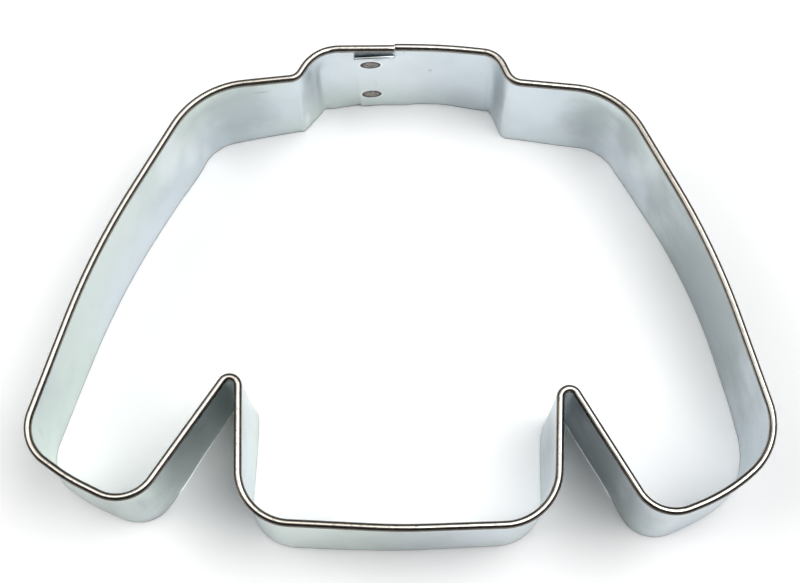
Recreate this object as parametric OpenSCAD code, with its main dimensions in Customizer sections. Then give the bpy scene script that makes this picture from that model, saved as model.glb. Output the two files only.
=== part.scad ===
// Sweater-shaped cookie cutter: one tinplate strip, bent on edge to the outline,
// rolled outwards to a bead along its top and lapped at the back of the collar.
// The places below are on the inner face of the wall, which is the line the dough is cut on:
// x from the middle line, left and right as seen from above, and h above the hem line.

/* [Strip] */
// Depth of the strip, from the cutting edge to the top of the bead
strip_depth = 22.2; // [16:0.1:32]
// Thickness of the tinplate
sheet = 0.3; // [0.2:0.02:0.4]
// Outside diameter of the bead
bead_d = 1.25; // [1.1:0.05:1.6]
// Gap left under the bead, between its rolled end and the wall
bead_gap = 0.1; // [0.05:0.05:0.3]

/* [Collar] */
// Left end of the collar, from the middle line
collar_left_x = 13.5; // [11:0.1:16]
// Height of the left end of the collar
collar_left_h = 78.6; // [76.5:0.1:80]
// Bend radius at the left end of the collar
collar_left_r = 6; // [2:0.1:6.5]
// Place of the slight bend right of the lap
collar_mid_x = 8; // [7:0.1:9.5]
// Height of the slight bend
collar_mid_h = 78.7; // [78:0.1:80]
// Bend radius of the slight bend
collar_mid_r = 60; // [20:1:80]
// Right end of the collar, from the middle line
collar_right_x = 15.7; // [14:0.1:18]
// Height of the right end of the collar
collar_right_h = 77.8; // [76.5:0.1:79]
// Bend radius at the right end of the collar
collar_right_r = 3.3; // [2:0.1:4.5]

/* [Neck] */
// How far the neck stands outside the collar's left end
neck_left_out = 3; // [1.5:0.1:4.5]
// Height of the left neck bend
neck_left_h = 73.4; // [72:0.1:74]
// Radius of the left neck bend
neck_left_r = 2.8; // [2:0.1:4]
// How far the neck stands outside the collar's right end
neck_right_out = 2.3; // [1.5:0.1:4.5]
// Height of the right neck bend
neck_right_h = 72.6; // [71.5:0.1:73.5]
// Radius of the right neck bend
neck_right_r = 3.4; // [2:0.1:4]

/* [Left sleeve] */
// Shoulder corner, from the middle line
shoulder_left_x = 32.8; // [30:0.1:36]
// Height of the shoulder corner
shoulder_left_h = 71.6; // [69:0.1:72.5]
// Radius of the shoulder
shoulder_left_r = 14; // [4:0.1:18]
// Elbow, the middle of the sleeve's gentle bow
elbow_left_x = 48; // [45:0.1:50]
// Height of the elbow
elbow_left_h = 43.6; // [38:0.1:48]
// Radius of the sleeve's bow
elbow_left_r = 120; // [40:1:140]
// Outer end of the cuff, from the middle line
cuff_left_x = 57.5; // [55:0.1:62]
// Height of the outer end of the cuff
cuff_left_h = 13; // [11:0.1:16]
// Radius at the outer end of the cuff
cuff_left_r = 6.2; // [3:0.1:7.5]
// Slight bend in the cuff, from its outer end towards the middle
cuff_mid_left_in = 7.3; // [6.5:0.1:9]
// How far below the outer end the slight bend lies
cuff_mid_left_drop = 5.3; // [4.5:0.1:6]
// Radius of the slight bend in the cuff
cuff_mid_left_r = 30; // [10:1:50]
// Inner end of the cuff, from its outer end towards the middle
heel_left_in = 16.5; // [15:0.1:19]
// How far below the outer end the inner end lies
heel_left_drop = 9.8; // [8.5:0.1:11]
// Radius at the inner end of the cuff
heel_left_r = 5.6; // [3:0.1:6.5]

/* [Right sleeve] */
// Shoulder corner, from the middle line
shoulder_right_x = 35.6; // [33:0.1:38]
// Height of the shoulder corner
shoulder_right_h = 70.8; // [69:0.1:72]
// Radius of the shoulder
shoulder_right_r = 12.8; // [4:0.1:16]
// Elbow, the middle of the sleeve's gentle bow
elbow_right_x = 49.2; // [46:0.1:51]
// Height of the elbow
elbow_right_h = 43.9; // [38:0.1:48]
// Radius of the sleeve's bow
elbow_right_r = 120; // [40:1:140]
// Outer end of the cuff, from the middle line
cuff_right_x = 58; // [55:0.1:62]
// Height of the outer end of the cuff
cuff_right_h = 12.6; // [11:0.1:16]
// Radius at the outer end of the cuff
cuff_right_r = 9.9; // [3:0.1:9.9]
// Slight bend in the cuff, from its outer end towards the middle
cuff_mid_right_in = 8.6; // [8.4:0.1:9.5]
// How far below the outer end the slight bend lies
cuff_mid_right_drop = 7.4; // [7:0.1:8]
// Radius of the slight bend in the cuff
cuff_mid_right_r = 28; // [10:1:28]
// Inner end of the cuff, from its outer end towards the middle
heel_right_in = 18.7; // [17.5:0.1:21]
// How far below the outer end the inner end lies
heel_right_drop = 11.4; // [10.5:0.1:12]
// Radius at the inner end of the cuff
heel_right_r = 5.5; // [3:0.1:6]

/* [Body] */
// Left side of the body at the armpit, from the middle line
armpit_left_x = 24.5; // [22:0.1:27]
// Corner height of the left armpit
armpit_left_h = 28; // [24:0.1:34]
// Right side of the body at the armpit, from the middle line
armpit_right_x = 24.5; // [22:0.1:27]
// Corner height of the right armpit
armpit_right_h = 26.6; // [23:0.1:34]
// Bend radius in both armpits, which leaves room for the bead
armpit_r = 2; // [1.8:0.1:3]
// How far the left side comes in from the armpit to the hem
hem_left_in = 0.7; // [0:0.1:3]
// Height of the left hem corner
hem_left_h = 1.2; // [0:0.1:3]
// Radius of the left hem corner
hem_left_r = 7.7; // [3:0.1:10]
// How far the right side comes in from the armpit to the hem
hem_right_in = 1.1; // [0:0.1:3]
// Height of the right hem corner
hem_right_h = 0.8; // [0:0.1:3]
// Radius of the right hem corner
hem_right_r = 8.2; // [3:0.1:10]
// Radius of the hem's bow in the middle
hem_mid_r = 100; // [40:1:120]

/* [Lap joint] */
// Where the two ends of the bead meet, left of the middle line
seam_x = 0.8; // [0:0.1:1.4]
// Gap between the two ends of the bead
seam_gap = 0.1; // [0.05:0.05:0.3]
// Length of the tongue behind the seam, along its top
tongue_len = 6.8; // [6:0.1:8]
// How much shorter the tongue is along the cutting edge
tongue_slant = 0.7; // [0:0.1:1.2]
// Radius of the tongue's bottom corner
tongue_corner_r = 0.9; // [0.4:0.1:1.5]
// Depth of the notch that clears the tongue of the bead
notch_depth = 1.8; // [1.7:0.1:3]
// Gap between the tongue and the strip outside it
lap_gap = 0.04; // [0.02:0.01:0.1]
// Length over which the wall steps inwards to the tongue
step_len = 5; // [3:0.1:6]
// Height of the tongue's flared lip
lip_h = 0.9; // [0.5:0.1:1.5]
// How far the lip leans inwards
lip_out = 0.25; // [0.1:0.05:0.4]

/* [Spot welds] */
// Diameter of each electrode mark
weld_d = 3.4; // [2.4:0.1:4]
// Depth of each electrode mark
weld_dent = 0.06; // [0.02:0.01:0.1]
// Diameter of the weld nugget between the layers
nugget_d = 2.4; // [1.5:0.1:3]
// Centre of the welds, from the tongue's end
weld_from_end = 2.7; // [2.5:0.1:3]
// Centre of the lower weld above the cutting edge
weld_low_z = 5.3; // [3:0.1:7]
// Centre of the upper weld below the top of the tongue
weld_top_drop = 3.2; // [2.5:0.1:5]

/* [Hidden] */

bead_r = bead_d / 2;
bead_z = strip_depth - bead_r;
wall_top = strip_depth - bead_d;
tongue_top = strip_depth - notch_depth;
lap_step = sheet + lap_gap;
// A bend is a hair slimmer than the runs and is let into both of them, so the band is one solid.
let_in = 0.03;
hair = 0.005;

// Bends in the order of travel, anticlockwise from the lap as seen from above: [x, h, radius].
BENDS = [
    [-collar_left_x, collar_left_h, collar_left_r],
    [-collar_left_x - neck_left_out, neck_left_h, neck_left_r],
    [-shoulder_left_x, shoulder_left_h, shoulder_left_r],
    [-elbow_left_x, elbow_left_h, elbow_left_r],
    [-cuff_left_x, cuff_left_h, cuff_left_r],
    [-cuff_left_x + cuff_mid_left_in, cuff_left_h - cuff_mid_left_drop, cuff_mid_left_r],
    [-cuff_left_x + heel_left_in, cuff_left_h - heel_left_drop, heel_left_r],
    [-armpit_left_x, armpit_left_h, armpit_r],
    [-armpit_left_x + hem_left_in, hem_left_h, hem_left_r],
    [0, 0, hem_mid_r],
    [armpit_right_x - hem_right_in, hem_right_h, hem_right_r],
    [armpit_right_x, armpit_right_h, armpit_r],
    [cuff_right_x - heel_right_in, cuff_right_h - heel_right_drop, heel_right_r],
    [cuff_right_x - cuff_mid_right_in, cuff_right_h - cuff_mid_right_drop, cuff_mid_right_r],
    [cuff_right_x, cuff_right_h, cuff_right_r],
    [elbow_right_x, elbow_right_h, elbow_right_r],
    [shoulder_right_x, shoulder_right_h, shoulder_right_r],
    [collar_right_x + neck_right_out, neck_right_h, neck_right_r],
    [collar_right_x, collar_right_h, collar_right_r],
    [collar_mid_x, collar_mid_h, collar_mid_r]
];
COUNT = len(BENDS);
HEM_MID = 9;
CUFF_LEFT = 4;
CUFF_RIGHT = 14;
LAP_RUN = COUNT - 1;

function corner(i) = [BENDS[i % COUNT][0], BENDS[i % COUNT][1]];
function radius(i) = BENDS[i % COUNT][2];
// Direction of travel along the run from bend i to the next.
function heading(i) =
    let (d = corner(i + 1) - corner(i)) atan2(d[1], d[0]);
function along(i) = [cos(heading(i)), sin(heading(i))];
function outward(i) = [sin(heading(i)), -cos(heading(i))];
// Turn at bend i, positive to the left, where the bead is on the outside of the bend.
function turn(i) =
    let (t = heading(i) - heading(i + COUNT - 1)) t > 180 ? t - 360 : t < -180 ? t + 360 : t;
function tangent(i) = radius(i) * tan(abs(turn(i)) / 2);
function bend_start(i) = corner(i) - along(i + COUNT - 1) * tangent(i);
function bend_end(i) = corner(i) + along(i) * tangent(i);
function bend_centre(i) = bend_start(i) - outward(i + COUNT - 1) * radius(i) * sign(turn(i));
function run_len(i) = norm(bend_start((i + 1) % COUNT) - bend_end(i));

// The seam, on the run that carries the lap.
seam_s = (bend_end(LAP_RUN)[0] + seam_x) / -along(LAP_RUN)[0];
seam_h = (bend_end(LAP_RUN) + along(LAP_RUN) * seam_s)[1];

// The part's origin lies under the middle of its outline, at the level of the cutting edge.
left_edge = bend_centre(CUFF_LEFT)[0] - radius(CUFF_LEFT) - bead_d;
right_edge = bend_centre(CUFF_RIGHT)[0] + radius(CUFF_RIGHT) + bead_d;
hem_edge = bend_centre(HEM_MID)[1] - radius(HEM_MID) - bead_d;
middle = [(left_edge + right_edge) / 2, (hem_edge + seam_h + bead_d) / 2];

// The end of the roll stays clear of the wall's outer face.
roll_end = -acos((sheet + bead_gap) / bead_r - 1);

// Cross-section of the strip above the height low: x outwards from the wall's inner face, y up.
// It is a wall with a bead rolled outwards at its top. A slim one is smaller all round by inset.
module strip_section(low = 0, inset = 0) {
    bore_r = bead_r - sheet + inset;
    reach = 2 * bead_r;
    slack = atan(inset / bore_r);
    translate([inset, low]) square([sheet - 2 * inset, bead_z - low]);
    translate([bead_r, bead_z]) difference() {
        circle(bead_r - inset, $fn = 48);
        circle(bore_r, $fn = 48);
        polygon([[0, 0], [-reach, 0], [-reach, -reach], reach * [cos(roll_end + slack), sin(roll_end + slack)]]);
    }
}

// The frame of run i: x along the travel from the end of bend i, y inwards, z up.
module place(i, from = 0) {
    at = bend_end(i) + along(i) * from;
    translate([at[0], at[1], 0]) rotate([0, 0, heading(i)]) children();
}

// A section stood up in a run's frame, with its x outwards, from one place to another.
module stand(from, to) {
    translate([from, 0, 0]) rotate([90, 0, 90]) linear_extrude(to - from) mirror([1, 0]) children();
}

// One bend of the strip. Where the outline turns inwards, the bead is inside the bend.
module bend(i) {
    c = bend_centre(i);
    t = turn(i);
    r = radius(i);
    extra = let_in / r * 180 / PI;
    first = heading(i + COUNT - 1) - 90 * sign(t) + min(t, 0) - extra;
    translate([c[0], c[1], 0]) rotate([0, 0, first])
        rotate_extrude(angle = abs(t) + 2 * extra, $fn = r > 20 ? 360 : 96)
            translate([r, 0]) mirror([t < 0 ? 1 : 0, 0]) strip_section(inset = hair);
}

// Section of the tongue, which lies inside the strip's other end and flares at its lip.
module tongue_section() {
    outer = -lap_gap;
    inner = -lap_step;
    polygon([
        [outer, 0], [inner, 0], [inner, tongue_top - lip_h], [inner - lip_out, tongue_top],
        [outer - lip_out, tongue_top], [outer, tongue_top - lip_h]
    ]);
}

// Side view of the tongue: x along the travel from the seam, y up. Its end slants and is rounded below.
module tongue_outline() {
    low_len = tongue_len - tongue_slant;
    cut = tongue_corner_r;
    difference() {
        polygon([[-seam_gap / 2, 0], [low_len, 0], [tongue_len, tongue_top], [-seam_gap / 2, tongue_top]]);
        difference() {
            translate([low_len - cut, -1]) square([cut + tongue_slant, cut + 1]);
            translate([low_len - cut, cut]) circle(cut, $fn = 48);
        }
    }
}

// The tongue, cut from its section and its side view.
module tongue() {
    reach = 2 * lap_step + lip_out;
    intersection() {
        stand(-seam_gap / 2, tongue_len) tongue_section();
        rotate([90, 0, 0]) translate([0, 0, -reach]) linear_extrude(2 * reach) tongue_outline();
    }
}

// Below the notch the wall steps inwards to the tongue, and above it the wall twists back to the bead.
module step_to_tongue(from, to) {
    linear_extrude(tongue_top)
        polygon([[from, 0], [to, lap_step], [to, lap_gap], [from, -sheet]]);
    polyhedron(
        points = [
            [from, 0, tongue_top], [from, -sheet, tongue_top], [from, -sheet, wall_top], [from, 0, wall_top],
            [to, lap_step, tongue_top], [to, lap_gap, tongue_top], [to, -sheet, wall_top], [to, 0, wall_top]
        ],
        faces = [
            [0, 3, 2], [0, 2, 1], [4, 5, 6], [4, 6, 7], [0, 1, 5], [0, 5, 4],
            [3, 7, 6], [3, 6, 2], [0, 4, 7], [0, 7, 3], [1, 2, 6], [1, 6, 5]
        ]
    );
    stand(from, to) strip_section(wall_top);
}

// The run with the lap, in its own frame with the seam at x = 0: the strip's right end with its
// tongue, and its left end outside the tongue.
module lap_run() {
    stand(-seam_s, -step_len) strip_section();
    step_to_tongue(-step_len, -seam_gap / 2);
    tongue();
    stand(seam_gap / 2, run_len(LAP_RUN) - seam_s) strip_section();
}

// The weld axes, in the lap's frame, with z outwards.
module at_welds() {
    for (z = [weld_low_z, tongue_top - weld_top_drop])
        translate([tongue_len - weld_from_end, 0, z]) rotate([90, 0, 0]) children();
}

// The lap with its two spot welds, and the marks that the electrodes left on both faces.
module lap_joint() {
    difference() {
        union() {
            lap_run();
            at_welds() translate([0, 0, -lap_gap - sheet / 2])
                cylinder(d = nugget_d, h = lap_gap + sheet, $fn = 48);
        }
        at_welds() {
            translate([0, 0, -lap_step - 1]) cylinder(d = weld_d, h = 1 + weld_dent, $fn = 64);
            translate([0, 0, sheet - weld_dent]) cylinder(d = weld_d, h = 1, $fn = 64);
        }
    }
}

// The whole band, one folded strip.
module cutter_band() {
    color("gainsboro") translate([-middle[0], -middle[1], 0]) {
        for (i = [0 : COUNT - 1]) bend(i);
        for (i = [0 : COUNT - 1]) if (i != LAP_RUN) place(i) stand(0, run_len(i)) strip_section();
        place(LAP_RUN, seam_s) lap_joint();
    }
}

cutter_band();
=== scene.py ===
"""Looks for a sweater-shaped cookie cutter: one tinplate strip, bent on edge, rolled
to a bead along its top, and lapped and spot welded at the back of the collar.

The classes hold sizes in millimetres. Meshes and materials are in metres.
"""

from __future__ import annotations

import logging
import math
from collections.abc import Callable, Iterable, Mapping
from dataclasses import dataclass, field
from enum import Enum
from itertools import pairwise
from typing import ClassVar

import bmesh
import bpy
from mathutils import Matrix, Vector
from mathutils.kdtree import KDTree

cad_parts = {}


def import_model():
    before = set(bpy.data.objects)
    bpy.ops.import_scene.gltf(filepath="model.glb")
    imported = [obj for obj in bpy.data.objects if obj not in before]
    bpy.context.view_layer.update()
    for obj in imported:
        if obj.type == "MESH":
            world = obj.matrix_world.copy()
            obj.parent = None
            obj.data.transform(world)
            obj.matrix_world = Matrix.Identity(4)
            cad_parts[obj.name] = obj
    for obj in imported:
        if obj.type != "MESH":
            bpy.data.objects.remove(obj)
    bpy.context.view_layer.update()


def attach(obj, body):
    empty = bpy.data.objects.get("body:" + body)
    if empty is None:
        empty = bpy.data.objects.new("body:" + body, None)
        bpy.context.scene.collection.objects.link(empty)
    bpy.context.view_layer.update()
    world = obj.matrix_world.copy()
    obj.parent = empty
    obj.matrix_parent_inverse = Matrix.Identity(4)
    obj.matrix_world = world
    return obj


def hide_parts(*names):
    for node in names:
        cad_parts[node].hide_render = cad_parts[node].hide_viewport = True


Socket = bpy.types.NodeSocket
Triple = tuple[float, float, float]
Range = tuple[float, float]
Where = Callable[[Vector], bool]
Inputs = Mapping[int | str, object] | Iterable[tuple[int | str, object]]

MM = 0.001
NEAR = 0.02  # how far, in millimetres, a vertex may lie from where it is looked for
BEAD_D = 1.25
UP = Vector((0.0, 0.0, 1.0))
NODE = "cutter_band"
BODY = "root"
PHOTO_WIDTH = 800

# This attribute holds a point's angle round the bead, or one of two values on the wall.
BEAD_TURN = "bead_turn"
WALL_TURN = 9.0
OUTER_TURN = 12.0

log = logging.getLogger("sweater_cutter")


class Element(Enum):
    """What a selection in edit mode is made of."""

    VERT = "VERT"
    EDGE = "EDGE"
    FACE = "FACE"


class Tone(Enum):
    """How a small mark changes the tin: stains, a weld's print, painted shade or painted light."""

    # Dark marks: stains, and painted shade as on the lap's lip.
    STAIN_AND_SHADE = "stain"
    # Painted shade: a darker patch where the wall lies in shade or mirrors shadowed floor.
    PAINTED_SHADE = "dull"
    # Painted light: a paler patch where the wall mirrors lit floor or catches light.
    PAINTED_LIGHT = "bright"
    # Painted shade in the crevice at the lap.
    CREVICE_SHADE = "grime"
    WELD = "weld"


@dataclass(frozen=True)
class Bend:
    """One bend of the strip, on the inner face of the wall.

    x is from the middle line and h above the hem line. The stiff bead bends to the
    radius, and the wall below it creases to the foot radius at the cutting edge.
    """

    x: float
    h: float
    radius: float
    foot: float | None = None


@dataclass(frozen=True)
class Spring:
    """How far the cutting edge stands outside the bead's line at a place on the strip.

    x and y are in the part's frame. The lean is negative where the wall comes in.
    """

    x: float
    y: float
    lean: float


@dataclass(frozen=True)
class Mark:
    """A small mark on the tin (stains, a weld's print, painted shade or painted light), with its
    place in the part's frame and half sizes.
    """

    place: Triple
    size: Triple
    strength: float
    tone: Tone = Tone.STAIN_AND_SHADE


@dataclass(frozen=True)
class Pattern:
    """A noise, and the range of its values over which it takes effect.

    The scale is in patches for each metre. The stretch and shift change where it is read.
    """

    scale: float
    detail: float = 2.0
    rough: float = 0.5
    low: float = 0.0
    high: float = 1.0
    stretch: Triple = (1.0, 1.0, 1.0)
    shift: Triple = (0.0, 0.0, 0.0)


def unit(x: float) -> float:
    """A number held between 0 and 1."""
    return max(0.0, min(1.0, x))


def eased(size: float, share: float) -> float:
    """A size faded in by a share from 0 to 1, softly at both ends."""
    return size * share * share * (3 - 2 * share)


def make_active(obj: bpy.types.Object) -> None:
    """Makes an object the active one and the only one selected.

    Args:
        obj: The object.
    """
    bpy.ops.object.select_all(action="DESELECT")
    obj.select_set(True)
    bpy.context.view_layer.objects.active = obj


def modify(obj: bpy.types.Object, kind: str, **settings: object) -> None:
    """Changes an object's mesh by a modifier.

    Args:
        obj: The object.
        kind: The modifier's type.
        settings: The modifier's properties.
    """
    made = obj.modifiers.new(kind.lower(), kind)
    for key, value in settings.items():
        setattr(made, key, value)
    make_active(obj)
    bpy.ops.object.modifier_apply(modifier=made.name)


class Bench:
    """Edit-mode work on one mesh, done with Blender's own modelling operators."""

    def __init__(self, obj: bpy.types.Object) -> None:
        """Takes the mesh object to work on."""
        self.obj = obj

    def __enter__(self) -> Bench:
        """Opens the mesh for editing.

        Returns:
            This bench.
        """
        make_active(self.obj)
        bpy.ops.object.mode_set(mode="EDIT")
        return self

    def __exit__(self, *_: object) -> None:
        """Closes the mesh."""
        bpy.ops.object.mode_set(mode="OBJECT")

    def mode(self, element: Element) -> None:
        """Sets what the selection is made of."""
        bpy.ops.mesh.select_mode(type=element.value)

    def select(self, element: Element, wanted: Where) -> None:
        """Selects vertices by their place, or faces by their middle.

        Args:
            element: VERT or FACE.
            wanted: Says of a place whether what is there is taken.
        """
        self.mode(element)
        bpy.ops.mesh.select_all(action="DESELECT")
        mesh = bmesh.from_edit_mesh(self.obj.data)
        if element is Element.FACE:
            taken = [f for f in mesh.faces if wanted(f.calc_center_median())]
        else:
            taken = [v for v in mesh.verts if wanted(v.co)]
        for piece in taken:
            piece.select = True
        mesh.select_flush(True)
        bmesh.update_edit_mesh(self.obj.data)

    def move(self, by: Vector, reach: float = 0.0) -> None:
        """Moves the selection.

        Args:
            by: How far, in metres.
            reach: How far round the selection the sheet follows, in millimetres, or 0.
        """
        bpy.ops.transform.translate(
            value=by,
            use_proportional_edit=reach > 0,
            proportional_edit_falloff="SMOOTH",
            proportional_size=(reach or 1.0) * MM,
            use_proportional_connected=True,
        )

    def repeat(self, step: Vector, times: int) -> None:
        """Extrudes the selection a number of times, each by one step in metres."""
        bpy.ops.mesh.extrude_repeat(steps=times, offset=step, scale_offset=1.0)

    def spin(self, angle: float, centre: Vector, steps: int) -> None:
        """Extrudes the selection round an upright axis.

        Args:
            angle: In radians, positive to the left.
            centre: A point on the axis.
            steps: Number of segments.
        """
        bpy.ops.mesh.spin(
            steps=steps, dupli=False, angle=-angle, use_auto_merge=False, center=centre, axis=UP
        )


@dataclass
class BandPath:
    """The line that the strip follows, anticlockwise from the lap as seen from above."""

    bends: tuple[Bend, ...] = (
        Bend(-13.5, 78.6, 6.0, 0.9),
        Bend(-16.5, 73.4, 2.8, 0.7),
        Bend(-32.8, 71.6, 14.0, 7.0),
        Bend(-48.0, 43.6, 120.0),
        Bend(-57.5, 13.0, 6.2),
        Bend(-50.2, 7.7, 30.0),
        Bend(-41.0, 3.2, 5.6),
        Bend(-24.5, 28.0, 2.0),
        Bend(-23.8, 1.2, 7.7),
        Bend(0.0, 0.0, 100.0),
        Bend(23.4, 0.8, 8.2),
        Bend(24.5, 26.6, 2.0),
        Bend(39.3, 1.2, 5.5),
        Bend(49.4, 5.2, 28.0),
        Bend(58.0, 12.6, 9.9),
        Bend(49.2, 43.9, 120.0),
        Bend(35.6, 70.8, 12.8, 8.0),
        Bend(18.0, 72.6, 3.4, 1.4),
        Bend(15.7, 77.8, 3.3, 0.9),
        Bend(8.0, 78.7, 60.0),
    )
    cuff_left: int = 4
    hem_mid: int = 9
    cuff_right: int = 14
    seam_x: float = 0.8
    least_on_bend: int = 8
    least_on_run: int = 2
    origin: Vector = field(init=False)
    seam: Vector = field(init=False)
    lap_along: Vector = field(init=False)
    lap_out: Vector = field(init=False)

    def __post_init__(self) -> None:
        """Finds the seam, and puts the origin under the middle of the outline."""
        self.lap_along, self.lap_out = self.along(self.lap_run), self.outward(self.lap_run)
        self.seam = self.bend_end(self.lap_run) + self.lap_along * self.seam_run()
        ends = (self.cuff_left, self.hem_mid, self.cuff_right)
        left, hem, right = (self.bend_centre(i) for i in ends)
        left_edge = left.x - self.bends[self.cuff_left].radius - BEAD_D
        right_edge = right.x + self.bends[self.cuff_right].radius + BEAD_D
        hem_edge = hem.y - self.bends[self.hem_mid].radius - BEAD_D
        middle = (left_edge + right_edge) / 2, (hem_edge + self.seam.y + BEAD_D) / 2
        self.origin = Vector(middle)

    @property
    def lap_run(self) -> int:
        """The run that carries the lap, which is the last."""
        return len(self.bends) - 1

    def corner(self, i: int) -> Vector:
        """The corner of bend i."""
        bend = self.bends[i % len(self.bends)]
        return Vector((bend.x, bend.h))

    def along(self, i: int) -> Vector:
        """Direction of travel on the run from bend i to the next."""
        return (self.corner(i + 1) - self.corner(i)).normalized()

    def outward(self, i: int) -> Vector:
        """Direction out of the cutter on the run from bend i."""
        d = self.along(i)
        return Vector((d.y, -d.x))

    def turn(self, i: int) -> float:
        """Turn at bend i in radians, positive to the left."""
        before, after = self.along(i - 1), self.along(i)
        return math.atan2(before.x * after.y - before.y * after.x, before.dot(after))

    def tangent(self, i: int) -> float:
        """Length from the corner of bend i to where it starts."""
        return self.bends[i % len(self.bends)].radius * math.tan(abs(self.turn(i)) / 2)

    def bend_start(self, i: int) -> Vector:
        """Where bend i starts."""
        return self.corner(i) - self.along(i - 1) * self.tangent(i)

    def bend_end(self, i: int) -> Vector:
        """Where bend i ends."""
        return self.corner(i) + self.along(i) * self.tangent(i)

    def bend_centre(self, i: int) -> Vector:
        """The centre of bend i."""
        reach = math.copysign(self.bends[i % len(self.bends)].radius, self.turn(i))
        return self.bend_start(i) - self.outward(i - 1) * reach

    def run_len(self, i: int) -> float:
        """Straight length between bend i and the next."""
        return (self.bend_start(i + 1) - self.bend_end(i)).length

    def seam_run(self) -> float:
        """How far along the lap's run the seam lies."""
        return (self.bend_end(self.lap_run).x + self.seam_x) / -self.lap_along.x

    def crease(self, i: int, angle: float) -> float:
        """How far the creased foot of bend i stands out from the bend's own arc.

        Args:
            i: The bend.
            angle: From the middle of the bend, in radians.

        Returns:
            The distance in millimetres, positive out of the cutter.
        """
        bend, half = self.bends[i], abs(self.turn(i)) / 2
        if bend.foot is None:
            return 0.0
        reach = (bend.radius - bend.foot) / math.cos(half)
        rim = math.atan2(bend.foot * math.sin(half), reach + bend.foot * math.cos(half))
        if abs(angle) < rim:
            across = math.sqrt(bend.foot**2 - (reach * math.sin(angle)) ** 2)
            far = reach * math.cos(angle) + across
        else:
            far = bend.radius / math.cos(half - abs(angle))
        return math.copysign(far - bend.radius, self.turn(i))

    def stations(self, step: float) -> tuple[list[Vector], list[float]]:
        """Points along the whole strip, a step apart or less.

        Args:
            step: The step in millimetres.

        Returns:
            The points in metres in the part's frame, and the crease at each in millimetres.
        """
        points, creases = [], []
        for i, bend in enumerate(self.bends):
            centre, turn = self.bend_centre(i), self.turn(i)
            spoke = self.bend_start(i) - centre
            count = max(self.least_on_bend, round(bend.radius * abs(turn) / step))
            for k in range(count):
                turned = spoke @ Matrix.Rotation(-turn * k / count, 2)
                points.append(self.place(centre + turned))
                creases.append(self.crease(i, abs(turn) * (k / count - 0.5)))
            start, length = self.bend_end(i), self.run_len(i)
            count = max(self.least_on_run, round(length / step))
            for k in range(count):
                points.append(self.place(start + self.along(i) * length * k / count))
                creases.append(0.0)
        return points, creases

    def place(self, point: Vector, z: float = 0.0) -> Vector:
        """A point of the drawing and a height in millimetres, as a place in the part's frame."""
        flat = (point - self.origin) * MM
        return Vector((flat.x, flat.y, z * MM))

    def lap_place(self, along: float, inward: float, z: float) -> Vector:
        """A place in the lap's own frame: along from the seam, inward from the wall, and z."""
        return self.place(self.seam + self.lap_along * along - self.lap_out * inward, z)

    def lap_offset(self, along: float, inward: float, z: float) -> Vector:
        """A shift given in the lap's own frame."""
        return self.lap_place(along, inward, z) - self.lap_place(0, 0, 0)

    def in_lap(self, at: Vector) -> Triple:
        """The lap's own coordinates of a place in metres: along, inward and z, in millimetres."""
        flat = Vector((at.x, at.y)) / MM + self.origin - self.seam
        return flat.dot(self.lap_along), -flat.dot(self.lap_out), at.z / MM


@dataclass
class Lap:
    """The lap at the back of the collar: a tongue inside the strip's other end.

    The lip's two ranges go from the seam to the tongue's end.
    """

    seam_gap: ClassVar[float] = 0.06
    tongue_top: float = 20.4
    tongue_len: float = 6.8
    tongue_slant: float = 0.7
    tongue_steps: int = 7
    corner_r: float = 0.9
    corner_cuts: int = 5
    gap: float = 0.04
    step_len: float = 5.0
    stations: int = 10
    notch_end: float = 0.12
    lip_out: Range = (0.378, 0.462)
    lip_rise: Range = (0.075, -0.075)
    lip_deep: float = 0.1
    weld_from_end: float = 2.7
    weld_heights: Range = (5.3, 17.2)
    weld_d: float = 3.4
    weld_high: Range = (3.0, 2.6)
    weld_dent: float = 0.06
    weld_slope: float = 0.35
    weld_soft: float = 1.0
    weld_near: float = 0.05
    weld_through: float = 20.0
    weld_grid: float = 0.9
    weld_cuts: int = 5

    def welds(self) -> list[Triple]:
        """Each weld's place along the lap, its height in the wall and its own height."""
        x = self.tongue_len - self.weld_from_end
        return [(x, z, high) for z, high in zip(self.weld_heights, self.weld_high, strict=True)]


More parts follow.
